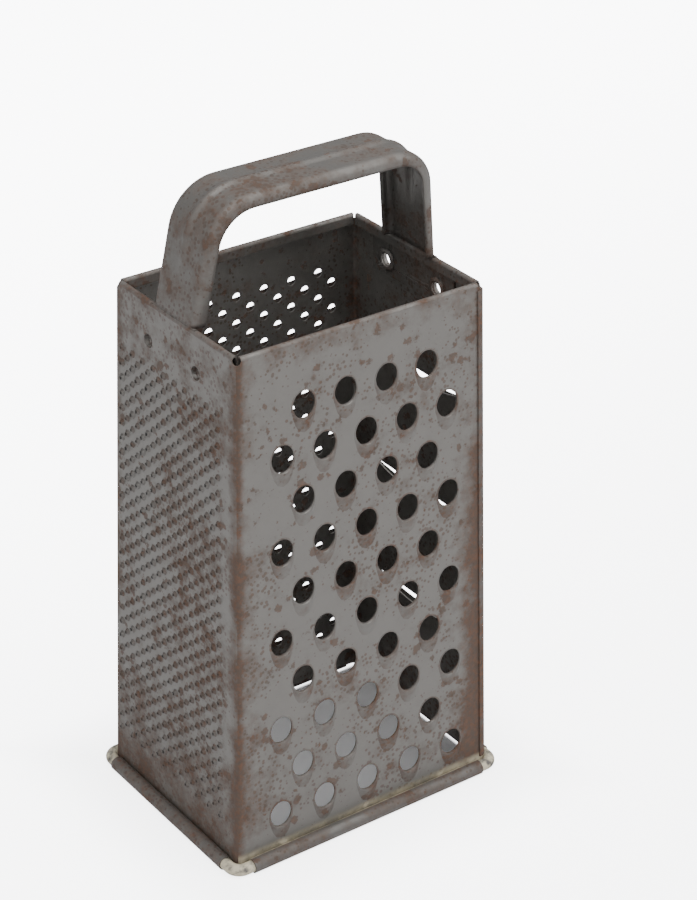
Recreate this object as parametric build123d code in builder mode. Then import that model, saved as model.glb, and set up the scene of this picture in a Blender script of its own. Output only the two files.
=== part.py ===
"""Four-sided tinplate box grater: a folded sheet body on a wired foot, with a channel strap handle.

Frame: millimetres, +Z up, origin on the table under the middle of the body.
The coarse side faces -Y, the fine side -X, the medium side +Y and the slicing side +X.
"""
import os
from math import cos, radians, sin, sqrt, tan

from build123d import *

# ---- Body sheet ----
body_height = 191.2         # table to rim
top_width = 96.2            # outside, along X, at the rim
top_depth = 70.2            # outside, along Y, at the rim
base_width = 106.5          # outside, along X, where the walls would meet the table
base_depth = 79.0           # outside, along Y, where the walls would meet the table
sheet = 0.5                 # thickness of the body sheet
corner_radius = 1.8         # outside radius of the four upright bends
notch_radius = 1.4          # relief notch at the top of each upright bend

# ---- Wired foot ----
wire_radius = 2.1
roll_flat = 0.15            # how far the rolled foot is worn flat underneath
roll_lip_angle = 125.0      # where the roll's free lip ends, from outward level over the top
roll_end_gap = 4.5          # bare wire left between a roll's end and the body's corner

# ---- Strap handle ----
strap_width = 24.5
strap_sheet = 0.9
strap_rise = 40.0           # rim to the top of the strap
flange_depth = 4.3          # outside face of the strap to the free edge of its flanges
fine_leg_lean = 12.4        # degrees that the leg on the fine side leans inwards
slicing_leg_lean = 4.3      # degrees that the leg on the slicing side leans inwards
fine_shoulder_radius = 18.0
slicing_shoulder_radius = 14.0
neck_radius = 8.0           # small bend where each leg leaves the wall's slope
rib_width = 5.5             # raised rib along the middle of the grip
rib_height = 1.1
rib_end_rise = 22.0         # rim to the rib's lower ends
flange_lift = 0.15          # air between the flanges' ends and the rim they stand over
foot_width = 44.6           # flat foot of the strap, inside the wall
foot_margin = 6.0           # foot below the middle of its clinched holes
foot_centre = 1.0           # the strap stands this far towards the medium side

# ---- Clinched joints of the strap's feet ----
clinch_radius = 2.4         # open hole inside the clinch collar
clinch_spacing = 27.8
clinch_stand = 0.9          # collar above the foot
clinch_lip = 0.7            # flared lip beyond the collar
clinch_fit = 0.05           # collar to the foot's hole
fine_clinch_drop = 13.9     # rim to the clinches on the fine side
slicing_clinch_drop = 10.5   # rim to the clinches on the slicing side

# ---- Folded rim ----
strap_clearance = 0.2       # strap to each leaf of the folded rim
hem_drop = 3.8              # rim to the free edge of the folded leaf
hem_end_gap = 0.4           # hem's ends to the bend, and to the mitre

# ---- Standing seam on the near corner of the slicing side ----
seam_lap = 2.6              # corner to the seam's edges, which lie on the outside of both walls

# ---- Coarse side: staggered large teeth ----
coarse_rows = 10
coarse_columns = 5          # in every other row, and one fewer between
coarse_first_row = 17.0
coarse_row_pitch = 16.84
coarse_margin = 16.5        # bend to the outermost column
coarse_shift = 1.1          # pattern's middle towards +X
coarse_hole_width = 8.6
coarse_hole_height = 9.8

# ---- Medium side: staggered small teeth ----
medium_rows = 31
medium_columns = 8
medium_first_row = 19.5
medium_row_pitch = 5.07
medium_margin = 9.5
medium_shift = -1.1
medium_hole_radius = 1.7

# ---- Slicing side: three bowed slots ----
slot_count = 3
slot_length = 52.0
slot_gap = 4.6              # height of the opening at its middle
slot_first = 52.3           # table to the straight top edge of the lowest slot
slot_pitch = 46.25

# ---- Worked out from the sizes above ----
hem_radius = sheet + strap_sheet / 2 + strap_clearance
roll_radius = wire_radius + sheet
roll_height = roll_radius - roll_flat
wall_top = body_height - hem_radius
cut_depth = 4.0             # deep enough for any cut through one wall, shallow enough to stop there
outwards = {"coarse": (0, -1), "slicing": (1, 0), "medium": (0, 1), "fine": (-1, 0)}


def half_width(height):
    """Middle of the body to the outside of the fine and slicing walls."""
    return (base_width + (top_width - base_width) * height / body_height) / 2


def half_depth(height):
    """Middle of the body to the outside of the coarse and medium walls."""
    return (base_depth + (top_depth - base_depth) * height / body_height) / 2


def reach(side, height):
    """Middle of the body to the outside of the named wall."""
    return half_width(height) if outwards[side][0] else half_depth(height)


def half_run(side, height):
    """Half the length of the named wall, measured along it between the outside corners."""
    return half_depth(height) if outwards[side][0] else half_width(height)


def wall_plane(side):
    """Plane on the wall's outside face: X along the wall, Y up its slope, Z outwards, origin at the table."""
    x, y = outwards[side]
    slope = (reach(side, 0) - reach(side, body_height)) / body_height
    return Plane(origin=(x * reach(side, 0), y * reach(side, 0), 0), x_dir=(-y, x, 0), z_dir=(x, y, slope))


def up_wall(side, height):
    """Distance up the sloping wall that reaches the height."""
    slope = (reach(side, 0) - reach(side, body_height)) / body_height
    return height * sqrt(1 + slope**2)


def section_plane(side):
    """Upright plane across the middle of a wall: X outwards, Y up."""
    x, y = outwards[side]
    return Plane(origin=(0, 0, 0), x_dir=(x, y, 0), z_dir=(y, -x, 0))


def body_shell(low, high, grow, thickness):
    """Tapered tube of sheet between two heights, its outside grown from the body's outside."""
    with BuildPart() as shell:
        for inset, mode in ((0, Mode.ADD), (thickness, Mode.SUBTRACT)):
            for height in (low, high):
                with BuildSketch(Plane.XY.offset(height)):
                    width = 2 * (half_width(height) + grow - inset)
                    depth = 2 * (half_depth(height) + grow - inset)
                    RectangleRounded(width, depth, corner_radius + grow - inset)
            loft(mode=mode)
    return shell.part


def side_wedge(side, low, high, gap):
    """Block that holds one wall, cut at 45 degrees through the two corners, less a gap."""
    deep = 15.0
    with BuildPart() as wedge:
        for height in (low, high):
            out = reach(side, height)
            run = half_run(side, height)
            with BuildSketch(Plane.XY.offset(height)):
                x, y = outwards[side]
                near = [(out + deep, -(run + deep - gap)), (out + deep, run + deep - gap)]
                far = [(out - deep, run - deep - gap), (out - deep, -(run - deep - gap))]
                Polygon([(x * a - y * b, y * a + x * b) for a, b in near + far], align=None)
        loft(ruled=True)
    return wedge.part


def staggered(side, rows, columns, first_row, row_pitch, margin, shift, full_first):
    """Places on a wall's plane: rows of columns, and one fewer between, kept a margin from the bends."""
    places = []
    for row in range(rows):
        height = first_row + row * row_pitch
        pitch = 2 * (half_run(side, height) - margin) / (columns - 1)
        full = (row % 2 == 0) == full_first
        count = columns if full else columns - 1
        for column in range(count):
            places.append((shift + (column - (count - 1) / 2) * pitch, up_wall(side, height)))
    return places


def plain_wall(side):
    """One wall with half of the upright bend at each end, and its share of the relief notches."""
    with BuildPart() as wall:
        add(body_shell(roll_height, wall_top, 0, sheet))
        add(side_wedge(side, 0, body_height, 0), mode=Mode.INTERSECT)
        for x in (-1, 1):
            for y in (-1, 1):
                corner = (x * half_width(wall_top), y * half_depth(wall_top), wall_top)
                with Locations(Plane(origin=corner, x_dir=(-y, x, 0), z_dir=(x, y, 0))):
                    Cylinder(notch_radius, 6 * corner_radius, mode=Mode.SUBTRACT)
    return wall.part


def clinch_places(side, drop):
    """The two clinched joints of a strap foot, on the wall's plane."""
    toward_medium = 1 if side == "slicing" else -1
    middle = toward_medium * foot_centre
    height = up_wall(side, body_height - drop)
    return [(middle - clinch_spacing / 2, height), (middle + clinch_spacing / 2, height)]


def clinch_collars(side, drop):
    """Collars drawn from the wall through the strap's foot, each turned over into a lip on its far side."""
    with BuildPart() as collars:
        for start, depth, radius in (
            (0, sheet + strap_sheet + clinch_stand, clinch_radius + sheet),
            (sheet + strap_sheet + clinch_fit, sheet, clinch_radius + sheet + clinch_lip),
        ):
            with BuildSketch(wall_plane(side).offset(-start)):
                with Locations(*clinch_places(side, drop)):
                    Circle(radius)
                    Circle(clinch_radius, mode=Mode.SUBTRACT)
            extrude(amount=-depth)
    return collars.part


# ---- Coarse side ----
with BuildPart() as coarse_side:
    add(plain_wall("coarse"))
    with BuildSketch(wall_plane("coarse")):
        with Locations(*staggered("coarse", coarse_rows, coarse_columns, coarse_first_row, coarse_row_pitch,
                                  coarse_margin, coarse_shift, True)):
            Ellipse(coarse_hole_width / 2, coarse_hole_height / 2)
    extrude(amount=cut_depth, both=True, mode=Mode.SUBTRACT)

# ---- Medium side ----
with BuildPart() as medium_side:
    add(plain_wall("medium"))
    medium_places = staggered("medium", medium_rows, medium_columns, medium_first_row, medium_row_pitch,
                              medium_margin, -medium_shift, False)
    for row_height in sorted({height for along, height in medium_places}):
        with Locations(wall_plane("medium")):
            with Locations(*[place for place in medium_places if place[1] == row_height]):
                Cylinder(medium_hole_radius, 2 * cut_depth, mode=Mode.SUBTRACT)

# ---- Fine side, with the collars that clinch the strap's foot; its fine punctures are left to the finish ----
with BuildPart() as fine_side:
    add(plain_wall("fine"))
    with Locations(wall_plane("fine")):
        with Locations(*clinch_places("fine", fine_clinch_drop)):
            Cylinder(clinch_radius, 2 * cut_depth, mode=Mode.SUBTRACT)
    add(clinch_collars("fine", fine_clinch_drop))

# ---- Slicing side, with three bowed slots and the same collars ----
with BuildPart() as slicing_side:
    add(plain_wall("slicing"))
    with Locations(wall_plane("slicing")):
        with Locations(*clinch_places("slicing", slicing_clinch_drop)):
            Cylinder(clinch_radius, 2 * cut_depth, mode=Mode.SUBTRACT)
    with BuildSketch(wall_plane("slicing")):
        for slot in range(slot_count):
            top_edge = up_wall("slicing", slot_first + slot * slot_pitch)
            with BuildLine():
                Line((-slot_length / 2, top_edge), (slot_length / 2, top_edge))
                ThreePointArc((slot_length / 2, top_edge), (0, top_edge - slot_gap), (-slot_length / 2, top_edge))
            make_face()
    extrude(amount=cut_depth, both=True, mode=Mode.SUBTRACT)
    add(clinch_collars("slicing", slicing_clinch_drop))


def rim_hem(side, pierced):
    """Top edge of a wall, folded inwards and down; pierced where the strap comes up through the fold."""
    fold_middle = reach(side, wall_top) - hem_radius
    with BuildPart() as hem:
        with BuildSketch(section_plane(side)):
            with Locations((fold_middle, wall_top)):
                Circle(hem_radius)
                Circle(hem_radius - sheet, mode=Mode.SUBTRACT)
                with Locations((0, -hem_radius)):
                    Rectangle(4 * hem_radius, 2 * hem_radius, mode=Mode.SUBTRACT)
            with Locations((fold_middle - hem_radius, body_height - hem_drop)):
                Rectangle(sheet, hem_drop - hem_radius, align=(Align.MIN, Align.MIN))
        extrude(amount=half_run(side, body_height) - corner_radius - hem_end_gap, both=True)
        add(side_wedge(side, body_height - 2 * hem_drop, body_height + hem_drop, hem_end_gap), mode=Mode.INTERSECT)
        if pierced:
            x = outwards[side][0]
            inside = reach(side, wall_top) - sheet
            slit_depth = strap_sheet + strap_clearance
            with Locations((x * (inside - slit_depth / 2), foot_centre, body_height)):
                Box(slit_depth, strap_width + 2 * strap_clearance, 4 * hem_radius, mode=Mode.SUBTRACT)
    return hem.part


def foot_roll(side):
    """Bottom edge of a wall, rolled outwards and over the wire, open at a lip against the wall."""
    with BuildPart() as roll:
        with BuildSketch(section_plane(side)):
            with Locations((reach(side, roll_height) + wire_radius, roll_height)):
                Circle(roll_radius)
                Circle(wire_radius, mode=Mode.SUBTRACT)
                lip = radians(roll_lip_angle)
                span = 3 * roll_radius
                Polygon([(0, 0), (span * cos(lip), span * sin(lip)), (-span, span * sin(lip)), (-span, 0)],
                        align=None, mode=Mode.SUBTRACT)
                with Locations((0, -roll_height)):
                    Rectangle(span, span, align=(Align.CENTER, Align.MAX), mode=Mode.SUBTRACT)
        extrude(amount=half_run(side, 0) - roll_end_gap, both=True)
    return roll.part


def corner_post(low, high):
    """Slanting square post that follows the near corner of the slicing side."""
    with BuildPart() as post:
        for height in (low, high):
            with BuildSketch(Plane.XY.offset(height)):
                with Locations((half_width(height), -half_depth(height))):
                    Rectangle(2 * seam_lap, 2 * seam_lap)
        loft(ruled=True)
    return post.part


# ---- Folded rims, one to a wall ----
with BuildPart() as coarse_rim_hem:
    add(rim_hem("coarse", False))
with BuildPart() as medium_rim_hem:
    add(rim_hem("medium", False))
with BuildPart() as fine_rim_hem:
    add(rim_hem("fine", True))
with BuildPart() as slicing_rim_hem:
    add(rim_hem("slicing", True))

# ---- Rolled foot edges, one to a wall ----
with BuildPart() as coarse_foot_roll:
    add(foot_roll("coarse"))
with BuildPart() as medium_foot_roll:
    add(foot_roll("medium"))
with BuildPart() as fine_foot_roll:
    add(foot_roll("fine"))
with BuildPart() as slicing_foot_roll:
    add(foot_roll("slicing"))

# ---- Foot wire, one closed loop inside the four rolls ----
with BuildPart() as foot_wire:
    wire_x = half_width(roll_height) + wire_radius
    wire_y = half_depth(roll_height) + wire_radius
    with BuildLine(Plane.XY.offset(roll_height)) as wire_route:
        FilletPolyline((-wire_x, -wire_y), (wire_x, -wire_y), (wire_x, wire_y), (-wire_x, wire_y),
                       radius=corner_radius + wire_radius, close=True)
    with BuildSketch(Plane(origin=wire_route.line @ 0, z_dir=wire_route.line % 0)):
        Circle(wire_radius)
    sweep(path=wire_route.line)

# ---- Standing seam: the slicing wall's edge lapped round its near corner ----
with BuildPart() as corner_seam:
    seam_foot = 2 * roll_radius
    seam_top = wall_top - notch_radius
    add(body_shell(seam_foot, seam_top, sheet, sheet))
    add(corner_post(seam_foot, seam_top), mode=Mode.INTERSECT)


def strap_route(inset):
    """Corners of the strap's side view, from the fine side's foot over the grip to the other foot.

    The inset moves every stretch inwards from the strap's outside face.
    """
    fine_foot = body_height - fine_clinch_drop - foot_margin
    slicing_foot = body_height - slicing_clinch_drop - foot_margin
    neck = half_width(body_height) - sheet
    top = body_height + strap_rise
    outside = [Vector(x, z) for x, z in (
        (sheet - half_width(fine_foot), fine_foot),
        (-neck, body_height),
        (strap_rise * tan(radians(fine_leg_lean)) - neck, top),
        (neck - strap_rise * tan(radians(slicing_leg_lean)), top),
        (neck, body_height),
        (half_width(slicing_foot) - sheet, slicing_foot),
    )]
    inwards = [(b - a).normalized().rotate(Axis.Z, -90) for a, b in zip(outside, outside[1:])]
    route = [outside[0] + inwards[0] * inset]
    for corner, before, after in zip(outside[1:-1], inwards, inwards[1:]):
        route.append(corner + (before + after) * (inset / (1 + before.dot(after))))
    return route + [outside[-1] + inwards[-1] * inset]


def strap_band(outer_inset, inner_inset, width, low, high):
    """Strip that follows the strap's side view between two insets, kept between two heights."""
    with BuildPart() as band:
        with BuildSketch(Plane.XZ.offset(-foot_centre)):
            with BuildLine():
                edges = []
                for inset in (outer_inset, inner_inset):
                    bends = (neck_radius, fine_shoulder_radius, slicing_shoulder_radius, neck_radius)
                    edges.append(FilletPolyline(*strap_route(inset), radius=[bend - inset for bend in bends]))
                Line(edges[0] @ 0, edges[1] @ 0)
                Line(edges[0] @ 1, edges[1] @ 1)
            make_face()
        extrude(amount=width / 2, both=True)
        with Locations((0, foot_centre, low)):
            Box(2 * top_width, 2 * width, high - low, align=(Align.CENTER, Align.CENTER, Align.MIN),
                mode=Mode.INTERSECT)
    return band.part


# ---- Strap handle: one strip with folded edges, a pressed rib and a flat foot at each end ----
with BuildPart() as handle_strap:
    strap_top = body_height + strap_rise + 2 * rib_height
    flange_end = body_height + flange_lift
    rib_end = body_height + rib_end_rise
    shoulder = wall_top - strap_clearance
    add(strap_band(0, flange_depth, strap_width, flange_end, strap_top))
    channel = strap_width - 2 * strap_sheet
    add(strap_band(strap_sheet, flange_depth + sheet, channel, 0, strap_top), mode=Mode.SUBTRACT)
    add(strap_band(0, strap_sheet, strap_width, 0, flange_end + strap_sheet))
    add(strap_band(0, strap_sheet, foot_width, 0, shoulder))
    add(strap_band(-rib_height, strap_sheet / 2, rib_width, rib_end, strap_top))
    groove = rib_width - 2 * strap_sheet
    add(strap_band(strap_sheet - rib_height, strap_sheet + sheet, groove, rib_end + strap_sheet, strap_top),
        mode=Mode.SUBTRACT)
    for side, drop in (("fine", fine_clinch_drop), ("slicing", slicing_clinch_drop)):
        with Locations(wall_plane(side)):
            with Locations(*clinch_places(side, drop)):
                Cylinder(clinch_radius + sheet + clinch_fit, 2 * cut_depth, mode=Mode.SUBTRACT)

os.makedirs("parts", exist_ok=True)
for name, sub_part in {
    "coarse_side": coarse_side,
    "medium_side": medium_side,
    "fine_side": fine_side,
    "slicing_side": slicing_side,
    "coarse_rim_hem": coarse_rim_hem,
    "medium_rim_hem": medium_rim_hem,
    "fine_rim_hem": fine_rim_hem,
    "slicing_rim_hem": slicing_rim_hem,
    "coarse_foot_roll": coarse_foot_roll,
    "medium_foot_roll": medium_foot_roll,
    "fine_foot_roll": fine_foot_roll,
    "slicing_foot_roll": slicing_foot_roll,
    "foot_wire": foot_wire,
    "corner_seam": corner_seam,
    "handle_strap": handle_strap,
}.items():
    sub_part.part.label = name
    export_step(sub_part.part, f"parts/{name}.step")
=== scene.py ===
"""Looks of a four-sided tinplate box grater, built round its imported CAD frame."""

import random
from math import atan2, cos, pi, radians, sin, sqrt, tan

import bmesh
import bpy
from bpy.props import FloatProperty, FloatVectorProperty, IntProperty, PointerProperty
from bpy.types import Operator, Panel, PropertyGroup
from mathutils import Matrix, Vector


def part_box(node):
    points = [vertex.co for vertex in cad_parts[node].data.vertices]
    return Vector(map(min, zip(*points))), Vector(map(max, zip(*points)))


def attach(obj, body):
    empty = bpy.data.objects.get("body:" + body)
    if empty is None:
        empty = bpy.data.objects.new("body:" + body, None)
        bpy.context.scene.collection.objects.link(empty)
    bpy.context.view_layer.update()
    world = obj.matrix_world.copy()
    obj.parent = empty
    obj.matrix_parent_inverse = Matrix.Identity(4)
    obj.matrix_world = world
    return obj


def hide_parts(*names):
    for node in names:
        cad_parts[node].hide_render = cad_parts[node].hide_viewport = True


bl_info = {
    "name": "Box Grater",
    "version": (1, 0, 0),
    "blender": (4, 5, 0),
    "location": "View3D > Sidebar > Grater",
    "description": "Teeth, handle, finishes and studio of a four-sided box grater",
    "category": "Object",
}

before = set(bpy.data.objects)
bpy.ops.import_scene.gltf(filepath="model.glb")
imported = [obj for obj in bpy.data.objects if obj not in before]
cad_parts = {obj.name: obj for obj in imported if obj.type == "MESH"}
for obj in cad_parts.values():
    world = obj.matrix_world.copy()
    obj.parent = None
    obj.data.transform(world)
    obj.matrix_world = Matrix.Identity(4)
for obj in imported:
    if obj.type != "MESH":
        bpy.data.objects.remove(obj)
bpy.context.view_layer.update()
BOXES = {name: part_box(name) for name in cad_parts}
MM = 0.001
OUTWARDS = {"coarse": (0, -1), "slicing": (1, 0), "medium": (0, 1), "fine": (-1, 0)}
BODY_HEIGHT = BOXES["coarse_rim_hem"][1].z
SUNK = 0.05 * MM            # how deep the foot of a pressed tooth is sunk into its wall
ABOVE_RIM = 0.15 * MM       # where the swept grip takes over from the strap's flat feet
MERGE = 0.01 * MM           # vertices nearer than this are one

# Features to the metre of the clouds and cells that the rust and the wire's coating are made of.
BROAD, PATCHY, GRAINY = 34.0, 120.0, 620.0
SPOT_CELLS, FLECK_CELLS = 210.0, 560.0
EDGE_CLOUD = 38.0
WIRE_PATCHY, WIRE_GRAINY = 260.0, 1400.0
BUMP_DEPTH, WIRE_BUMP_DEPTH = 0.18 * MM, 0.2 * MM

# Each soft light's name, place, side in metres and power in watts.
SOFTBOXES = (
    ("overhead_softbox", (0.1, -0.3, 1.5), 1.5, 30.0),
    ("right_softbox", (1.0, -1.3, 0.9), 1.1, 13.0),
    ("left_softbox", (-1.5, -0.4, 0.9), 1.0, 9.0),
)
WORLD_COLOUR, WORLD_STRENGTH = (0.95, 0.97, 1.0), 0.45
# Colour of the floor's glow, painted light seen only by the camera.
GLOW_COLOUR = (0.98, 0.985, 1.0)
FLOOR_SIZE = 4.0
CAMERA_EYE = Vector((-0.42644, -0.61201, 0.54409))
CAMERA_AIM = Vector((0.020304, 0.0, 0.122066))
CAMERA_ROLL = radians(0.474)
FOCAL_LENGTH, SENSOR_WIDTH = 131.76, 36.0       # millimetres, as the camera takes them


# ---- Sizes and colours that a user would change ----
def length(name, description, default):
    """A length in metres, given in millimetres."""
    return FloatProperty(name=name, description=description, default=default * MM, unit="LENGTH", precision=5)


def colour(name, description, default):
    """A colour with red, green and blue from 0 to 1."""
    return FloatVectorProperty(name=name, description=description, default=default, size=3, subtype="COLOR",
                               min=0, max=1)


class CoarseTeeth(PropertyGroup):
    """Sizes of the large teeth."""
    rows: IntProperty(name="Rows", description="Rows of large holes", default=10)
    columns: IntProperty(name="Columns", description="Holes in a full row", default=5)
    first_row: length("First row", "Table to the lowest row", 17.0)
    row_pitch: length("Row pitch", "Height from row to row", 16.84)
    margin: length("Margin", "Bend to the outermost column", 16.5)
    shift: length("Shift", "Middle of the pattern towards the slicing side", 1.1)
    hole_width: length("Hole width", "Hole along the wall", 8.6)
    hole_height: length("Hole height", "Hole up the wall", 9.8)
    lip: length("Lip", "Lower edge of each hole, pressed out", 0.75)
    tail: length("Tail", "Pressed tail below each hole", 4.2)


class MediumTeeth(PropertyGroup):
    """Sizes of the small teeth."""
    rows: IntProperty(name="Rows", description="Rows of small holes", default=31)
    columns: IntProperty(name="Columns", description="Holes in a full row", default=8)
    first_row: length("First row", "Table to the lowest row", 19.5)
    row_pitch: length("Row pitch", "Height from row to row", 5.07)
    margin: length("Margin", "Bend to the outermost column", 9.5)
    shift: length("Shift", "Middle of the pattern towards the slicing side", 1.1)
    hole_radius: length("Hole radius", "Small hole", 1.7)
    hood: length("Hood", "Height of the hood over each hole's lower half", 1.3)


class FineTeeth(PropertyGroup):
    """Sizes of the nail-punched burrs."""
    rows: IntProperty(name="Rows", description="Rows of burrs", default=55)
    columns: IntProperty(name="Columns", description="Burrs in a full row", default=10)
    first_row: length("First row", "Table to the lowest row", 17.9)
    row_pitch: length("Row pitch", "Height from row to row", 2.79)
    margin: length("Margin", "Bend to the outermost column", 7.5)
    shift: length("Shift", "Middle of the pattern towards the medium side", 2.7)
    burr_radius: length("Burr radius", "Foot of each burr", 1.5)
    burr_height: length("Burr height", "Torn crest above the wall", 1.05)


class SlicingBlades(PropertyGroup):
    """Sizes of the three slicing slots and their raised blades."""
    count: IntProperty(name="Blades", description="Slots up the wall", default=3)
    first: length("First", "Table to the straight edge of the lowest slot", 52.3)
    pitch: length("Pitch", "Slot to slot", 46.25)
    slot_length: length("Slot length", "End to end", 52.0)
    gap: length("Gap", "Height of the opening at its middle", 4.6)
    ramp: length("Ramp", "Pressed ramp below each opening", 7.0)
    lift: length("Lift", "Blade's edge above the wall", 2.2)


class StrapHandle(PropertyGroup):
    """Sizes of the channel strap."""
    width: length("Width", "Across the strap", 24.5)
    sheet: length("Sheet", "Thickness of the strap", 0.9)
    flange: length("Flange", "Outside face to the free edge of the folded flanges", 4.3)
    edge_radius: length("Edge radius", "Fold between web and flange", 2.8)
    rise: length("Rise", "Rim to the top of the strap", 40.0)
    body_sheet: length("Body sheet", "Thickness of the wall outside each leg", 0.5)
    fine_lean: FloatProperty(name="Fine lean", description="Lean of the fine side's leg",
                             default=radians(12.4), unit="ROTATION")
    slicing_lean: FloatProperty(name="Slicing lean", description="Lean of the slicing side's leg",
                                default=radians(4.3), unit="ROTATION")
    fine_shoulder: length("Fine shoulder", "Bend over the fine side", 18.0)
    slicing_shoulder: length("Slicing shoulder", "Bend over the slicing side", 14.0)
    rib_width: length("Rib width", "Pressed rib along the grip", 5.6)
    rib_height: length("Rib height", "Rib above the strap", 0.85)
    rib_start: length("Rib start", "Rim to where the rib begins to rise", 12.0)
    rib_full: length("Rib full", "Rim to where the rib is full", 30.0)


class Clinches(PropertyGroup):
    """Sizes of the torn collars that hold the strap's feet."""
    spacing: length("Spacing", "Collar to collar", 27.8)
    fine_drop: length("Fine drop", "Rim to the collars on the fine side", 13.9)
    slicing_drop: length("Slicing drop", "Rim to the collars on the slicing side", 10.5)
    radius: length("Radius", "Open hole", 2.4)
    depth: length("Depth", "Wall's outside to the collar's end", 2.3)
    burr: length("Burr", "Torn edge beyond the hole", 1.5)


class Finish(PropertyGroup):
    """Colours of the metal and of the studio."""
    tin: colour("Tin", "Dull tinned steel", (0.156, 0.148, 0.137))
    tin_worn: colour("Worn tin", "Tin gone dark", (0.105, 0.097, 0.088))
    rust: colour("Rust", "Brown rust", (0.060, 0.037, 0.025))
    fresh_rust: colour("Fresh rust", "Orange rust", (0.150, 0.056, 0.022))
    zinc: colour("Zinc", "Chalky coating of the wire", (0.50, 0.45, 0.33))
    floor: colour("Floor", "Studio floor", (0.86, 0.86, 0.87))


class GraterSettings(PropertyGroup):
    """All sizes and colours of the grater."""
    coarse: PointerProperty(type=CoarseTeeth)
    medium: PointerProperty(type=MediumTeeth)
    fine: PointerProperty(type=FineTeeth)
    slicing: PointerProperty(type=SlicingBlades)
    handle: PointerProperty(type=StrapHandle)
    clinches: PointerProperty(type=Clinches)
    finish: PointerProperty(type=Finish)


# ---- Walls of the frame ----
def outermost(node, axis):
    """How far a CAD node reaches from the middle along X or Y."""
    low, high = BOXES[node]
    return max(abs(low[axis]), abs(high[axis]))


def wall_reach(side, height):
    """Middle of the body to the outside of a wall."""
    axis = 0 if OUTWARDS[side][0] else 1
    low, high = BOXES[f"{side}_side"]
    bottom = outermost(f"{side}_side", axis)
    top = outermost(f"{side}_rim_hem", axis)
    return bottom + (top - bottom) * (height - low.z) / (high.z - low.z)


def wall_run(side, height):
    """Half the length of a wall between its outside corners."""
    return wall_reach("slicing" if side in ("coarse", "medium") else "coarse", height)


def wall_slope(side):
    """How much a wall leans in for each unit of height."""
    return (wall_reach(side, 0) - wall_reach(side, BODY_HEIGHT)) / BODY_HEIGHT


def wall_frame(side):
    """X along a wall, Y up its slope, Z outwards, origin on its outside face at the table."""
    x, y = OUTWARDS[side]
    out = Vector((x, y, wall_slope(side))).normalized()
    along = Vector((-y, x, 0))
    up = out.cross(along)
    turned = Matrix((along, up, out)).transposed().to_4x4()
    return Matrix.Translation((x * wall_reach(side, 0), y * wall_reach(side, 0), 0)) @ turned


def up_wall(side, height):
    """Distance up the slope that reaches a height."""
    return height * sqrt(1 + wall_slope(side) ** 2)


def staggered(side, teeth, shift, full_first):
    """Places on a wall: rows of columns, and one fewer between, kept a margin from the bends."""
    places = []
    for row in range(teeth.rows):
        height = teeth.first_row + row * teeth.row_pitch
        pitch = 2 * (wall_run(side, height) - teeth.margin) / (teeth.columns - 1)
        full = (row % 2 == 0) == full_first
        count = teeth.columns if full else teeth.columns - 1
        for column in range(count):
            places.append((shift + (column - (count - 1) / 2) * pitch, up_wall(side, height)))
    return places


# ---- Mesh helpers ----
def new_ring(grown):
    """The edges and vertices that an extrusion made."""
    verts = {g for g in grown if isinstance(g, bmesh.types.BMVert)}
    edges = [g for g in grown if isinstance(g, bmesh.types.BMEdge) and verts.issuperset(g.verts)]
    return edges, verts


def ring_stack(segments, rings, closed=False):
    """A skin through rings round Z: each ring gives an angle its radius and lift. Closed adds a floor."""
    bm = bmesh.new()
    bmesh.ops.create_circle(bm, segments=segments, radius=1)
    edges, verts = list(bm.edges), list(bm.verts)
    for number, ring in enumerate(rings):
        if number:
            edges, verts = new_ring(bmesh.ops.extrude_edge_only(bm, edges=edges)["geom"])
        for vert in verts:
            angle = atan2(vert.co.y, vert.co.x)
            radius, lift = ring(angle)
            vert.co = (radius * cos(angle), radius * sin(angle), lift)
    if closed:
        bmesh.ops.edgeloop_fill(bm, edges=edges)
    bmesh.ops.recalc_face_normals(bm, faces=bm.faces)
    face_towards(bm, Vector((0, 0, 1)))
    put_in_order(bm)
    return bm


def put_in_order(bm):
    """Sorts edges and faces by place, because an extrusion makes them in no fixed order."""
    places = ((bm.edges, lambda edge: (edge.verts[0].co + edge.verts[1].co)[:]),
              (bm.faces, lambda face: face.calc_center_median()[:]))
    for parts, place in places:
        numbers = {part: number for number, part in enumerate(sorted(parts, key=place))}
        parts.sort(key=numbers.get)


def face_towards(bm, direction):
    """Turns an open skin over if most of it looks away from a direction."""
    bm.normal_update()
    if sum(face.normal.dot(direction) * face.calc_area() for face in bm.faces) < 0:
        bmesh.ops.reverse_faces(bm, faces=bm.faces)


def as_mesh(bm, name):
    """The bmesh as a named mesh; the bmesh is freed."""
    mesh = bpy.data.meshes.new(name)
    bm.to_mesh(mesh)
    bm.free()
    return mesh


def stamp(bm, mesh, matrix):
    """Adds a moved copy of a small mesh."""
    copy = mesh.copy()
    copy.transform(matrix)
    bm.from_mesh(copy)
    bpy.data.meshes.remove(copy)


def add_piece(name, bm, materials, smooth=True):
    """Makes the bmesh a finished piece that rides on the body."""
    mesh = as_mesh(bm, name)
    for material in materials:
        mesh.materials.append(material)
    if smooth:
        mesh.shade_smooth()
    piece = bpy.data.objects.new(name, mesh)
    bpy.context.scene.collection.objects.link(piece)
    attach(piece, "root")
    return piece


def lower_lobe(angle):
    """1 straight down the wall, falling to 0 at the sides and above."""
    return max(0.0, -sin(angle))


def eased(share):
    """A share held between 0 and 1, with level ends."""
    share = min(1.0, max(0.0, share))
    return share * share * (3 - 2 * share)


# ---- Shader helpers ----
def add_node(tree, kind, inputs=None, **settings):
    """A node with its settings, and each input set or linked."""
    made = tree.nodes.new(kind)
    for name, value in settings.items():
        setattr(made, name, value)
    for key, value in (inputs or {}).items():
        if isinstance(value, bpy.types.NodeSocket):
            tree.links.new(value, made.inputs[key])
        else:
            made.inputs[key].default_value = value
    return made


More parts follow.
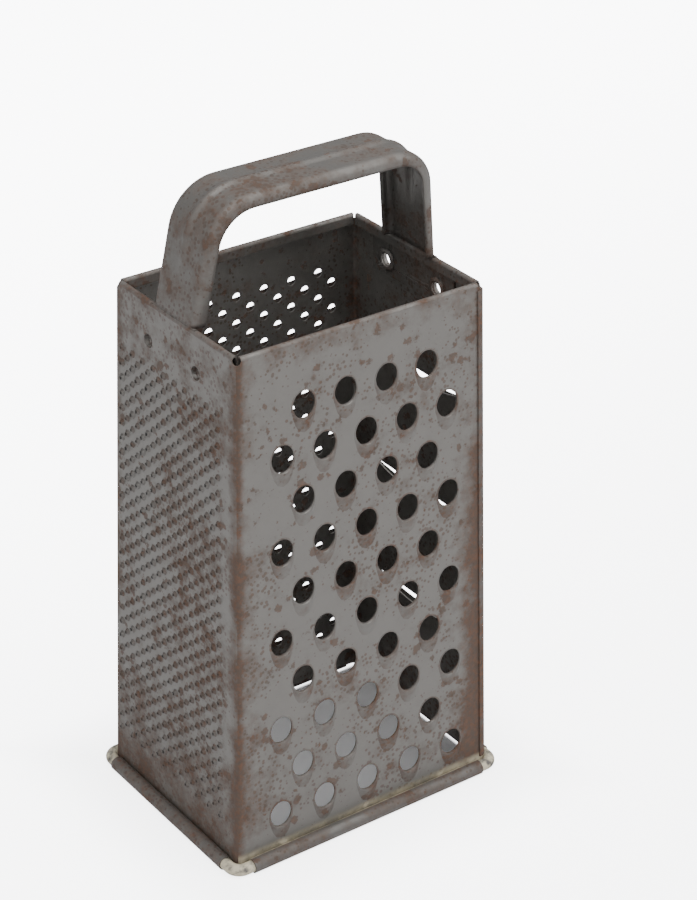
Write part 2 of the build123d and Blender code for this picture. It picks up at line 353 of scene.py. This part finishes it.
def maths(tree, operation, *values):
    """One step of arithmetic."""
    return add_node(tree, "ShaderNodeMath", dict(enumerate(values)), operation=operation).outputs[0]


def rise(tree, value, low, high, bottom=0.0, top=1.0):
    """Smooth step of a value from bottom at low to top at high."""
    made = add_node(tree, "ShaderNodeMapRange", {0: value, 1: low, 2: high, 3: bottom, 4: top},
                    interpolation_type="SMOOTHSTEP")
    return made.outputs[0]


def blend(tree, factor, first, second):
    """Mix of two colours."""
    made = add_node(tree, "ShaderNodeMix", {0: factor, 6: first, 7: second}, data_type="RGBA")
    return made.outputs[2]


def cloud(tree, where, scale, detail, roughness):
    """Noise from 0 to 1; the scale is in features to the metre."""
    made = add_node(tree, "ShaderNodeTexNoise",
                    {"Vector": where, "Scale": scale, "Detail": detail, "Roughness": roughness})
    return made.outputs["Fac"]


def opaque(rgb):
    """A colour with full alpha."""
    return (*rgb, 1.0)


def speckle(tree, given, scale, cover, low, high, most):
    """Round spots in cells, growing up to the most as a cloud goes from low to high."""
    cells = add_node(tree, "ShaderNodeTexVoronoi", {"Vector": given["Coordinates"], "Scale": scale})
    reach = maths(tree, "MULTIPLY", rise(tree, cover, low, high, 0.0, most), given["Spots"])
    return rise(tree, maths(tree, "SUBTRACT", reach, cells.outputs["Distance"]), -0.03, 0.10)


def aged_tin_group():
    """Tinned steel with rust in blotches, spots and where the wear mask asks for it."""
    name = "Aged tin"
    if name in bpy.data.node_groups:
        return bpy.data.node_groups[name]
    look = bpy.context.scene.grater.finish
    tree = bpy.data.node_groups.new(name, "ShaderNodeTree")
    sockets = (
        ("Coordinates", "INPUT", "NodeSocketVector", None),
        ("Tin", "INPUT", "NodeSocketColor", opaque(look.tin)),
        ("Wear", "INPUT", "NodeSocketFloat", 0.0),
        ("Blotches", "INPUT", "NodeSocketFloat", 0.0),
        ("Spots", "INPUT", "NodeSocketFloat", 1.0),
        ("Orange", "INPUT", "NodeSocketFloat", 0.0),
        ("Chalk", "INPUT", "NodeSocketFloat", 0.0),
        ("Color", "OUTPUT", "NodeSocketColor", None),
        ("Metal", "OUTPUT", "NodeSocketFloat", None),
        ("Roughness", "OUTPUT", "NodeSocketFloat", None),
        ("Height", "OUTPUT", "NodeSocketFloat", None),
    )
    for label, way, kind, default in sockets:
        socket = tree.interface.new_socket(label, in_out=way, socket_type=kind)
        if default is not None:
            socket.default_value = default
    given = tree.nodes.new("NodeGroupInput").outputs
    where = given["Coordinates"]
    broad = cloud(tree, where, BROAD, 5.0, 0.6)
    patchy = cloud(tree, where, PATCHY, 7.0, 0.68)
    grainy = cloud(tree, where, GRAINY, 4.0, 0.7)

    # Where it rusts: stains where the clouds are high, a crust where they are highest, and round spots.
    mixed = maths(tree, "ADD", maths(tree, "MULTIPLY", broad, 0.5), maths(tree, "MULTIPLY", patchy, 0.5))
    pushed = maths(tree, "ADD", mixed, maths(tree, "ADD", given["Wear"], given["Blotches"]))
    stain = rise(tree, pushed, 0.50, 0.68)
    crust = rise(tree, maths(tree, "ADD", pushed, maths(tree, "MULTIPLY", grainy, 0.12)), 0.70, 0.80)
    spots = speckle(tree, given, SPOT_CELLS, patchy, 0.43, 0.63, 0.46)
    flecks = speckle(tree, given, FLECK_CELLS, broad, 0.34, 0.60, 0.40)

    # Colour: bare tin under tin gone dark, then rust in layers, then the chalk.
    worn = blend(tree, rise(tree, patchy, 0.35, 0.68), given["Tin"], opaque(look.tin_worn))
    metal_tone = blend(tree, maths(tree, "MULTIPLY", rise(tree, broad, 0.3, 0.7), 0.5), given["Tin"], worn)
    orange = maths(tree, "MULTIPLY", rise(tree, grainy, 0.4, 0.7), given["Orange"])
    rust_tone = blend(tree, orange, opaque(look.rust), opaque(look.fresh_rust))
    stained = blend(tree, maths(tree, "MULTIPLY", stain, 0.62), metal_tone, rust_tone)
    spotted = blend(tree, maths(tree, "MULTIPLY", flecks, 0.55), stained, rust_tone)
    spotted = blend(tree, maths(tree, "MULTIPLY", spots, 0.72), spotted, rust_tone)
    crusted = blend(tree, maths(tree, "MULTIPLY", crust, 0.85), spotted, rust_tone)
    chalk = maths(tree, "MULTIPLY", given["Chalk"], rise(tree, patchy, 0.36, 0.60, 0.35, 1.0))
    chalked = blend(tree, chalk, crusted, opaque(look.zinc))

    # Rust is duller, rougher and stands higher than tin.
    rusty = maths(tree, "MAXIMUM", maths(tree, "MAXIMUM", crust, maths(tree, "MULTIPLY", stain, 0.7)), spots)
    metal = maths(tree, "MULTIPLY", maths(tree, "SUBTRACT", 1.0, rusty), 0.55)
    rough = maths(tree, "ADD", maths(tree, "MULTIPLY", rusty, 0.36),
                  maths(tree, "MULTIPLY_ADD", grainy, 0.14, 0.36))
    bumps = maths(tree, "ADD", maths(tree, "MULTIPLY", grainy, 0.25), maths(tree, "MULTIPLY", crust, 0.5))
    height = maths(tree, "ADD", bumps, maths(tree, "MULTIPLY", spots, 0.35))
    taken = tree.nodes.new("NodeGroupOutput").inputs
    for label, socket in (("Color", chalked), ("Metal", metal), ("Roughness", rough), ("Height", height)):
        tree.links.new(socket, taken[label])
    return tree


def tin_finish(name, tin, blotches, spots, orange, wear, chalk):
    """A material of aged tin. Wear and chalk, if any, make masks of where it rusts or whitens."""
    if name in bpy.data.materials:
        return bpy.data.materials[name]
    material = bpy.data.materials.new(name)
    material.use_nodes = True
    tree = material.node_tree
    shader = tree.nodes["Principled BSDF"]
    where = tree.nodes.new("ShaderNodeTexCoord").outputs["Object"]
    x, y, z = add_node(tree, "ShaderNodeSeparateXYZ", {0: where}).outputs
    inputs = {"Coordinates": where, "Tin": opaque(tin),
              "Blotches": blotches, "Spots": spots, "Orange": orange}
    if wear:
        inputs["Wear"] = wear(tree, x, y, z)
    if chalk:
        inputs["Chalk"] = chalk(tree, x, y, z)
    aged = add_node(tree, "ShaderNodeGroup", node_tree=aged_tin_group())
    for key, value in inputs.items():
        if isinstance(value, bpy.types.NodeSocket):
            tree.links.new(value, aged.inputs[key])
        else:
            aged.inputs[key].default_value = value
    bumpy = {"Strength": 0.55, "Distance": BUMP_DEPTH, "Height": aged.outputs["Height"]}
    bump = add_node(tree, "ShaderNodeBump", bumpy)
    for source, target in (("Color", "Base Color"), ("Metal", "Metallic"), ("Roughness", "Roughness")):
        tree.links.new(aged.outputs[source], shader.inputs[target])
    tree.links.new(bump.outputs["Normal"], shader.inputs["Normal"])
    return material


def corner_wear(tree, x, y, z, amount, reach):
    """Rust along the four upright bends."""
    height = maths(tree, "DIVIDE", z, BODY_HEIGHT)
    masks = []
    for value, side in ((x, "slicing"), (y, "coarse")):
        low, high = wall_reach(side, 0), wall_reach(side, BODY_HEIGHT)
        outside = maths(tree, "MULTIPLY_ADD", height, high - low, low)
        masks.append(maths(tree, "SUBTRACT", outside, maths(tree, "ABSOLUTE", value)))
    inset = maths(tree, "MAXIMUM", *masks)
    return rise(tree, inset, 0.0, reach, amount, 0.0)


def coarse_wear(tree, x, y, z):
    """Heavy rust on the slicing side's edge, less along the other bend and the rim."""
    corner = wall_reach("slicing", 0)
    up_only = add_node(tree, "ShaderNodeCombineXYZ", {2: z}).outputs[0]
    wander = maths(tree, "MULTIPLY", cloud(tree, up_only, EDGE_CLOUD, 3.0, 0.6), 22 * MM)
    edge = rise(tree, maths(tree, "ADD", x, wander), corner - 9.25 * MM, corner + 8.75 * MM, 0.0, 0.34)
    low_down = rise(tree, z, BODY_HEIGHT - 41.2 * MM, BODY_HEIGHT - 71.2 * MM, 0.35, 1.0)
    edge = maths(tree, "MULTIPLY", edge, low_down)
    near = rise(tree, x, 16.25 * MM - corner, 3.25 * MM - corner, 0.0, 0.13)
    rim = rise(tree, z, BODY_HEIGHT - 19.2 * MM, BODY_HEIGHT - 1.2 * MM, 0.0, 0.10)
    bend = corner_wear(tree, x, y, z, 0.16, 4 * MM)
    total = maths(tree, "ADD", maths(tree, "ADD", edge, near), maths(tree, "ADD", rim, bend))
    return maths(tree, "SUBTRACT", total, 0.02)


def fine_wear(tree, x, y, z):
    """A light brown cast all over, more along the bends."""
    bend = corner_wear(tree, x, y, z, 0.16, 6 * MM)
    return maths(tree, "ADD", bend, rise(tree, z, 60 * MM, 0.0, 0.0, 0.12))


def inside_wear(tree, x, y, z):
    """Rust along the bends of the walls seen from inside."""
    return corner_wear(tree, x, y, z, 0.14, 6 * MM)


def wall_chalk(tree, x, y, z):
    """White oxide just above the rolled foot."""
    crevice = BOXES["coarse_foot_roll"][1].z
    return rise(tree, z, crevice + 2.6 * MM, crevice - 0.6 * MM, 0.0, 0.85)


def roll_chalk(tree, x, y, z):
    """Cream crust on the side of the roll that lies against the wall."""
    wall = -wall_reach("coarse", 0)
    return rise(tree, y, wall - 1.6 * MM, wall - 0.5 * MM, 0.0, 0.95)


def finish_of(name):
    """One of the grater's finishes by name, made when first asked for."""
    # How light its tin is, blotches, spots, orange, and the masks of wear and chalk.
    shade, *rusting = {
        "coarse": (1.0, 0.0, 1.0, 0.45, coarse_wear, wall_chalk),
        "fine": (1.0, 0.03, 1.0, 0.35, fine_wear, None),
        # Lighter tin for the medium and slicing walls, seen only from inside the box: painted light that
        # makes up for the dim inside.
        "medium": (1.25, 0.03, 1.0, 0.7, inside_wear, None),
        "slicing": (1.2, 0.03, 1.0, 0.6, inside_wear, None),
        "rim": (1.0, 0.10, 1.0, 0.4, None, None),
        "foot": (0.9, 0.11, 1.0, 0.6, None, None),
        "coarse_foot": (0.75, 0.11, 1.0, 0.3, None, roll_chalk),
        "seam": (0.75, 0.17, 1.0, 0.7, None, None),
        "strap": (0.9, 0.09, 1.1, 0.25, None, None),
        "lip": (0.9, 0.10, 1.0, 0.5, None, None),
        "tooth": (0.8, 0.13, 1.0, 0.4, None, None),
        # Near-black tin on the bottom of each fine burr's crater: painted shade standing for the dark hole
        # through the sheet.
        "pit": (0.15, 0.10, 0.6, 0.1, None, None),
    }[name]
    tin = Vector(bpy.context.scene.grater.finish.tin) * shade
    return tin_finish(f"aged_{name}", tin, *rusting)


def zinc_finish():
    """Chalky oxidised coating of the foot wire."""
    name = "chalky_wire"
    if name in bpy.data.materials:
        return bpy.data.materials[name]
    look = bpy.context.scene.grater.finish
    material = bpy.data.materials.new(name)
    material.use_nodes = True
    tree = material.node_tree
    where = tree.nodes.new("ShaderNodeTexCoord").outputs["Object"]
    patchy = cloud(tree, where, WIRE_PATCHY, 6.0, 0.65)
    grainy = cloud(tree, where, WIRE_GRAINY, 3.0, 0.6)
    tone = blend(tree, rise(tree, patchy, 0.44, 0.66), opaque(look.zinc), opaque(look.tin_worn))
    shader = tree.nodes["Principled BSDF"]
    tree.links.new(tone, shader.inputs["Base Color"])
    tree.links.new(rise(tree, patchy, 0.3, 0.7, 0.55, 0.85), shader.inputs["Roughness"])
    bump = add_node(tree, "ShaderNodeBump", {"Strength": 0.5, "Distance": WIRE_BUMP_DEPTH, "Height": grainy})
    tree.links.new(bump.outputs["Normal"], shader.inputs["Normal"])
    return material


# ---- Operators, one for each piece or group of like pieces ----
class GRATER_OT_frame_finish(Operator):
    """Give the sheet body, its foot wire and its seam their finishes"""
    bl_idname = "grater.frame_finish"
    bl_label = "Finish of the body"

    def execute(self, context):
        finishes = {"coarse_side": "coarse", "fine_side": "fine", "medium_side": "medium",
                    "slicing_side": "slicing", "corner_seam": "seam"}
        for side in OUTWARDS:
            finishes[f"{side}_rim_hem"] = "rim"
            finishes[f"{side}_foot_roll"] = "coarse_foot" if side == "coarse" else "foot"
        for name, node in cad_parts.items():
            if name == "handle_strap":
                continue
            node.data.materials.clear()
            node.data.materials.append(zinc_finish() if name == "foot_wire" else finish_of(finishes[name]))
        return {"FINISHED"}


class GRATER_OT_coarse_teeth(Operator):
    """Press a lip and a tail round each large hole"""
    bl_idname = "grater.coarse_teeth"
    bl_label = "Coarse teeth"

    def execute(self, context):
        teeth = context.scene.grater.coarse
        across, up = teeth.hole_width / 2, teeth.hole_height / 2

        def edge(angle):
            return across * up / sqrt((up * cos(angle)) ** 2 + (across * sin(angle)) ** 2)

        def foot(angle):
            lobe = lower_lobe(angle)
            return edge(angle) + 0.7 * MM + teeth.tail * lobe ** 7 + 0.5 * MM * lobe

        def slope(angle):
            return edge(angle) + 0.45 * MM + 0.4 * teeth.tail * lower_lobe(angle) ** 6

        def lip(angle):
            return 0.10 * MM + teeth.lip * lower_lobe(angle) ** 1.5

        rings = (
            lambda a: (foot(a), -SUNK),
            lambda a: (slope(a), 0.45 * lip(a)),
            lambda a: (edge(a) + 0.15 * MM, lip(a)),
            lambda a: (edge(a) - 0.10 * MM, lip(a) - 0.12 * MM),
            lambda a: (edge(a) - 0.04 * MM, -0.5 * MM),
        )
        tooth = as_mesh(ring_stack(28, rings), "coarse_tooth")
        bm = bmesh.new()
        face = wall_frame("coarse")
        for along, height in staggered("coarse", teeth, teeth.shift, True):
            stamp(bm, tooth, face @ Matrix.Translation((along, height, 0)))
        bpy.data.meshes.remove(tooth)
        add_piece("coarse_teeth", bm, [finish_of("lip")])
        return {"FINISHED"}


class GRATER_OT_medium_teeth(Operator):
    """Raise a hood over the lower half of each small hole"""
    bl_idname = "grater.medium_teeth"
    bl_label = "Medium teeth"

    def execute(self, context):
        teeth = context.scene.grater.medium
        hole = teeth.hole_radius

        def mouth(angle):
            lobe = lower_lobe(angle)
            return hole - 0.05 * MM - 0.4 * hole * lobe, 0.1 * MM + teeth.hood * lobe ** 0.7

        rings = (
            lambda a: (hole + 0.9 * MM + 0.7 * MM * lower_lobe(a), -SUNK),
            lambda a: (hole + 0.35 * MM, 0.12 * MM + 0.6 * teeth.hood * lower_lobe(a)),
            mouth,
        )
        tooth = as_mesh(ring_stack(12, rings), "medium_tooth")
        bm = bmesh.new()
        face = wall_frame("medium")
        for along, height in staggered("medium", teeth, teeth.shift, False):
            stamp(bm, tooth, face @ Matrix.Translation((along, height, 0)))
        bpy.data.meshes.remove(tooth)
        add_piece("medium_teeth", bm, [finish_of("tooth")])
        return {"FINISHED"}


class GRATER_OT_fine_teeth(Operator):
    """Punch the fine side's torn burrs"""
    bl_idname = "grater.fine_teeth"
    bl_label = "Fine teeth"

    def execute(self, context):
        teeth = context.scene.grater.fine
        draw = random.Random(7)
        foot, crest = teeth.burr_radius, teeth.burr_height
        kinds = []
        for _ in range(5):
            torn = [draw.uniform(0.65, 1.0) for _ in range(8)]

            def torn_at(angle, torn=torn):
                return torn[round(angle / (pi / 4)) % 8]

            rings = (
                lambda a: (foot, -0.04 * MM),
                lambda a: (0.68 * foot, 0.38 * crest),
                lambda a, torn_at=torn_at: (0.44 * foot, crest * torn_at(a)),
                lambda a, torn_at=torn_at: (0.32 * foot, crest * torn_at(a) - 0.08 * MM),
                lambda a: (0.24 * foot, 0.12 * crest),
            )
            bm = ring_stack(8, rings, closed=True)
            # The faces round the bottom of each crater take the second material, a near-black painted shade
            # for the dark hole through the sheet.
            for face in bm.faces:
                middle = face.calc_center_median()
                face.material_index = int(Vector((middle.x, middle.y)).length < 0.36 * foot)
            kinds.append(as_mesh(bm, "fine_burr"))
        bm = bmesh.new()
        wall = wall_frame("fine")
        for along, height in staggered("fine", teeth, -teeth.shift, True):
            turned = Matrix.Rotation(draw.uniform(0, 2 * pi), 4, "Z")
            size = Matrix.Scale(draw.uniform(0.85, 1.08), 4)
            stamp(bm, draw.choice(kinds), wall @ Matrix.Translation((along, height, 0)) @ turned @ size)
        for kind in kinds:
            bpy.data.meshes.remove(kind)
        add_piece("fine_teeth", bm, [finish_of("tooth"), finish_of("pit")])
        return {"FINISHED"}


class GRATER_OT_slicing_blades(Operator):
    """Press a bowed ramp out below each slicing slot"""
    bl_idname = "grater.slicing_blades"
    bl_label = "Slicing blades"

    def execute(self, context):
        blades = context.scene.grater.slicing
        half = blades.slot_length / 2
        bm = bmesh.new()
        wall = wall_frame("slicing")
        for number in range(blades.count):
            top = up_wall("slicing", blades.first + number * blades.pitch)
            grid = bmesh.ops.create_grid(bm, x_segments=26, y_segments=5, size=1)["verts"]
            for vert in grid:
                along, share = vert.co.x, (vert.co.y + 1) / 2
                bow = max(0.0, 1 - along ** 2)
                edge = top - blades.gap * bow
                foot = edge - 0.4 * MM - blades.ramp * sqrt(bow)
                lift = blades.lift * bow * share ** 1.6
                vert.co = (along * half, foot + (edge - foot) * share, lift - 0.03 * MM)
            bmesh.ops.transform(bm, matrix=wall, verts=grid)
        bmesh.ops.remove_doubles(bm, verts=bm.verts, dist=MERGE)
        face_towards(bm, Vector((1, 0, 0)))
        add_piece("slicing_blades", bm, [finish_of("slicing")])
        return {"FINISHED"}


class GRATER_OT_clinches(Operator):
    """Tear the collars' edges open round the strap's feet"""
    bl_idname = "grater.clinches"
    bl_label = "Clinched collars"

    def execute(self, context):
        sizes = context.scene.grater.clinches
        draw = random.Random(11)
        strap = BOXES["handle_strap"]
        middle = (strap[0].y + strap[1].y) / 2
        bm = bmesh.new()
        turned = Matrix.Rotation(pi, 4, "X")
        for side, drop in (("fine", sizes.fine_drop), ("slicing", sizes.slicing_drop)):
            centre = middle if side == "slicing" else -middle
            for step in (-0.5, 0.5):
                torn = [draw.uniform(0.25, 1.0) for _ in range(16)]

                def torn_at(angle, torn=torn):
                    return torn[round(angle / (pi / 8)) % 16]

                inner, deep, burr = sizes.radius, sizes.depth, sizes.burr
                rings = (
                    lambda a: (inner - 0.05 * MM, deep - 0.9 * MM),
                    lambda a: (inner + 0.10 * MM, deep + 0.10 * MM),
                    lambda a, t=torn_at: (inner + 0.55 * MM, deep + 0.25 * MM * t(a)),
                    lambda a, t=torn_at: (inner + 0.7 * MM + burr * t(a), deep - 0.35 * MM),
                    lambda a, t=torn_at: (inner + 0.5 * MM + burr * t(a), deep - 0.6 * MM),
                )
                collar = as_mesh(ring_stack(16, rings), "collar")
                height = up_wall(side, BODY_HEIGHT - drop)
                spot = Matrix.Translation((centre + step * sizes.spacing, height, 0))
                stamp(bm, collar, wall_frame(side) @ spot @ turned)
                bpy.data.meshes.remove(collar)
        add_piece("clinch_burrs", bm, [finish_of("rim")])
        return {"FINISHED"}


def rib(strap, across):
    """Height of the pressed rib at a distance from the strap's middle."""
    return strap.rib_height * eased(1 - abs(across) / (strap.rib_width / 2))


def half_face(strap, depth, bend):
    """Half of a face of the strap's section, from its middle out to the flange's free edge."""
    half, fold = strap.width / 2, strap.edge_radius
    steps = [strap.rib_width / 2 * share for share in (0, 0.2, 0.4, 0.6, 0.8, 1)] + [half * 0.62]
    line = [(across, depth - rib(strap, across)) for across in steps]
    for turn in range(7):
        angle = pi / 2 * turn / 6
        line.append((half - fold + bend * sin(angle), fold - bend * cos(angle)))
    return line + [(half - depth, strap.flange * 0.75), (half - depth, strap.flange)]


def strap_section(strap):
    """Closed outline of the channel, as places across it and depths from its outside."""
    outer = half_face(strap, 0, strap.edge_radius)
    inner = half_face(strap, strap.sheet, strap.edge_radius - strap.sheet)
    section = outer + inner[::-1]
    section += [(-across, depth) for across, depth in inner[1:]]
    return section + [(-across, depth) for across, depth in outer[:0:-1]]


def push(bm, edges, move, steps=1):
    """Extrudes a ring by a move, in equal steps."""
    for _ in range(steps):
        edges, verts = new_ring(bmesh.ops.extrude_edge_only(bm, edges=edges)["geom"])
        bmesh.ops.translate(bm, vec=move / steps, verts=list(verts))
    return edges


def turn_over(bm, edges, centre, angle, steps):
    """Spins a ring round a shoulder of the strap."""
    grown = bmesh.ops.spin(bm, geom=edges, cent=centre, axis=(0, 1, 0), angle=angle, steps=steps)
    return [g for g in grown["geom_last"] if isinstance(g, bmesh.types.BMEdge)]


def slide_to(edges, point, along, normal):
    """Slides a ring's vertices along a leg onto the plane through a point."""
    for vert in {v for edge in edges for v in edge.verts}:
        vert.co += along * (point - vert.co).dot(normal) / along.dot(normal)


class GRATER_OT_handle(Operator):
    """Sweep the channel strap with its rounded folds and fading rib, and keep its flat feet"""
    bl_idname = "grater.handle"
    bl_label = "Strap handle"

    def execute(self, context):
        strap = context.scene.grater.handle
        low, high = BOXES["handle_strap"]
        middle = (low.y + high.y) / 2
        foot_level = Vector((0, middle, BODY_HEIGHT + ABOVE_RIM))
        upright = Vector((0, 0, 1))
        top = BODY_HEIGHT + strap.rise
        neck = wall_reach("fine", BODY_HEIGHT) - strap.body_sheet

        # The fine side's leg, from a ring level with the rim up to its shoulder.
        lean = strap.fine_lean
        up = Vector((sin(lean), 0, cos(lean)))
        fine_in = Vector((cos(lean), 0, -sin(lean)))
        foot = Vector((-neck, middle, BODY_HEIGHT))
        bm = bmesh.new()
        ring = [bm.verts.new(foot + fine_in * depth + Vector((0, across, 0)))
                for across, depth in strap_section(strap)]
        foot_ring = [bm.edges.new(pair) for pair in zip(ring, ring[1:] + ring[:1])]
        slide_to(foot_ring, foot_level, up, upright)
        bend = pi / 2 - lean
        fine_cut = strap.fine_shoulder * tan(bend / 2)
        near = -neck + strap.rise * tan(lean)
        shoulder = Vector((near, middle, top)) - up * fine_cut
        edges = push(bm, foot_ring, up * MM)
        slide_to(edges, shoulder, up, up)
        edges = turn_over(bm, edges, shoulder + fine_in * strap.fine_shoulder, bend, 14)

        # Along the top, over the other shoulder and down the slicing side's leg.
        lean = strap.slicing_lean
        down = Vector((sin(lean), 0, -cos(lean)))
        slicing_out = Vector((cos(lean), 0, sin(lean)))
        bend = pi / 2 - lean
        slicing_cut = strap.slicing_shoulder * tan(bend / 2)
        far = neck - strap.rise * tan(lean)
        edges = push(bm, edges, Vector((far - slicing_cut - near - fine_cut, 0, 0)), 12)
        centre = Vector((far - slicing_cut, middle, top - strap.slicing_shoulder))
        edges = turn_over(bm, edges, centre, bend, 12)
        edges = push(bm, edges, down * MM)
        slide_to(edges, foot_level, down, upright)
        for loop in (foot_ring, edges):
            bmesh.ops.edgeloop_fill(bm, edges=loop)

        # The rib fades out down each leg.
        legs = [edge for edge in bm.edges if abs(edge.verts[0].co.z - edge.verts[1].co.z) > 8 * MM]
        bmesh.ops.subdivide_edges(bm, edges=legs, cuts=14, use_grid_fill=True)
        for vert in bm.verts:
            height = vert.co.z - BODY_HEIGHT
            if height < strap.rib_full:
                out = slicing_out if vert.co.x > 0 else -fine_in
                fade = eased((height - strap.rib_start) / (strap.rib_full - strap.rib_start))
                vert.co -= out * rib(strap, vert.co.y - middle) * (1 - fade)
        bmesh.ops.remove_doubles(bm, verts=bm.verts, dist=MERGE)
        bmesh.ops.recalc_face_normals(bm, faces=bm.faces)
        put_in_order(bm)
        grip = add_piece("strap_grip", bm, [finish_of("strap")])
        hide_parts("handle_strap")

        # Below the rim the strap stays as it is in the frame.
        bm = bmesh.new()
        bm.from_mesh(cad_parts["handle_strap"].data)
        bmesh.ops.remove_doubles(bm, verts=bm.verts, dist=0.002 * MM)
        whole = bm.verts[:] + bm.edges[:] + bm.faces[:]
        cut = bmesh.ops.bisect_plane(bm, geom=whole, plane_co=foot_level, plane_no=upright, clear_outer=True)
        rims = [g for g in cut["geom_cut"] if isinstance(g, bmesh.types.BMEdge)]
        bmesh.ops.edgeloop_fill(bm, edges=rims)
        add_piece("strap_feet", bm, [finish_of("strap")], smooth=False)
        return {"FINISHED"}


class GRATER_OT_studio(Operator):
    """Set the floor, with its painted glow and painted shadows, the soft lights and the camera"""
    bl_idname = "grater.studio"
    bl_label = "Studio"

    def execute(self, context):
        look = context.scene.grater.finish
        bm = bmesh.new()
        bmesh.ops.create_grid(bm, x_segments=1, y_segments=1, size=FLOOR_SIZE)
        floor = bpy.data.objects.new("floor", as_mesh(bm, "floor"))
        material = bpy.data.materials.new("floor_paper")
        material.use_nodes = True
        tree = material.node_tree
        shader = tree.nodes["Principled BSDF"]
        shader.inputs["Base Color"].default_value = opaque(look.floor)
        shader.inputs["Roughness"].default_value = 0.95
        shader.inputs["Specular IOR Level"].default_value = 0.0
        where = tree.nodes.new("ShaderNodeTexCoord").outputs["Object"]
        x, y, _ = add_node(tree, "ShaderNodeSeparateXYZ", {0: where}).outputs
        # The floor glows unevenly, for camera rays only, as painted light. There is no glow inside the
        # footprint, which is painted shade on the floor under the body. The glow fades in over 40 mm from the
        # walls, a painted contact shadow round the base. It also grows towards the back, a painted falloff of
        # the light.
        over_x = maths(tree, "SUBTRACT", maths(tree, "ABSOLUTE", x), wall_reach("slicing", 0))
        over_y = maths(tree, "SUBTRACT", maths(tree, "ABSOLUTE", y), wall_reach("coarse", 0))
        beyond = maths(tree, "MAXIMUM", over_x, over_y)
        outside = maths(tree, "MULTIPLY", rise(tree, beyond, -1 * MM, 1 * MM), 4.2)
        clear = rise(tree, beyond, -1 * MM, 40 * MM)
        painted_glow_falloff = maths(tree, "MULTIPLY", clear, rise(tree, y, -0.2, 0.6, 1.0, 4.5))
        shine = maths(tree, "ADD", outside, painted_glow_falloff)
        glow = add_node(tree, "ShaderNodeEmission", {"Color": opaque(GLOW_COLOUR), "Strength": shine})
        seen = tree.nodes.new("ShaderNodeLightPath").outputs["Is Camera Ray"]
        dark = add_node(tree, "ShaderNodeEmission", {"Strength": 0.0})
        lit = add_node(tree, "ShaderNodeMixShader", {0: seen, 1: dark.outputs[0], 2: glow.outputs[0]})
        both = add_node(tree, "ShaderNodeAddShader", {0: shader.outputs[0], 1: lit.outputs[0]})
        tree.links.new(both.outputs[0], tree.nodes["Material Output"].inputs["Surface"])
        floor.data.materials.append(material)
        context.scene.collection.objects.link(floor)

        world = bpy.data.worlds.new("studio")
        world.use_nodes = True
        sky = world.node_tree.nodes["Background"]
        sky.inputs["Color"].default_value = opaque(WORLD_COLOUR)
        sky.inputs["Strength"].default_value = WORLD_STRENGTH
        context.scene.world = world

        aim = Vector((0, 0, BODY_HEIGHT * 0.5))
        for name, spot, size, watts in SOFTBOXES:
            lamp = bpy.data.lights.new(name, "AREA")
            lamp.shape = "SQUARE"
            lamp.size = size
            lamp.energy = watts
            holder = bpy.data.objects.new(name, lamp)
            holder.location = spot
            holder.rotation_euler = (aim - Vector(spot)).to_track_quat("-Z", "Y").to_euler()
            context.scene.collection.objects.link(holder)

        lens = bpy.data.cameras.new("camera")
        lens.sensor_fit = "HORIZONTAL"
        lens.sensor_width = SENSOR_WIDTH
        lens.lens = FOCAL_LENGTH
        lens.clip_start = 0.05
        lens.clip_end = 20.0
        forward = (CAMERA_AIM - CAMERA_EYE).normalized()
        level = forward.cross(Vector((0, 0, 1))).normalized()
        plumb = level.cross(forward)
        right = level * cos(CAMERA_ROLL) + plumb * sin(CAMERA_ROLL)
        above = plumb * cos(CAMERA_ROLL) - level * sin(CAMERA_ROLL)
        facing = Matrix((right, above, -forward)).transposed().to_4x4()
        camera = bpy.data.objects.new("camera", lens)
        camera.matrix_world = Matrix.Translation(CAMERA_EYE) @ facing
        context.scene.collection.objects.link(camera)
        context.scene.camera = camera
        return {"FINISHED"}


STEPS = (GRATER_OT_studio, GRATER_OT_frame_finish, GRATER_OT_coarse_teeth, GRATER_OT_medium_teeth,
         GRATER_OT_fine_teeth, GRATER_OT_slicing_blades, GRATER_OT_clinches, GRATER_OT_handle)


class GRATER_PT_panel(Panel):
    """Lists the grater's pieces and their sizes"""
    bl_label = "Box Grater"
    bl_idname = "GRATER_PT_panel"
    bl_space_type = "VIEW_3D"
    bl_region_type = "UI"
    bl_category = "Grater"

    def draw(self, context):
        for step in STEPS:
            self.layout.operator(step.bl_idname)
        for group in context.scene.grater.bl_rna.properties:
            if group.type == "POINTER" and group.identifier != "rna_type":
                box = self.layout.box()
                box.label(text=group.identifier.capitalize())
                sizes = getattr(context.scene.grater, group.identifier)
                for size in sizes.bl_rna.properties:
                    if size.identifier not in ("rna_type", "name"):
                        box.prop(sizes, size.identifier)


CLASSES = (CoarseTeeth, MediumTeeth, FineTeeth, SlicingBlades, StrapHandle, Clinches, Finish, GraterSettings,
           *STEPS, GRATER_PT_panel)


def register():
    for made in CLASSES:
        bpy.utils.register_class(made)
    bpy.types.Scene.grater = PointerProperty(type=GraterSettings)


def unregister():
    del bpy.types.Scene.grater
    for made in reversed(CLASSES):
        bpy.utils.unregister_class(made)


def main():
    """Builds the grater and its studio."""
    register()
    for step in STEPS:
        group, name = step.bl_idname.split(".")
        getattr(getattr(bpy.ops, group), name)()


if __name__ == "__main__":
    main()
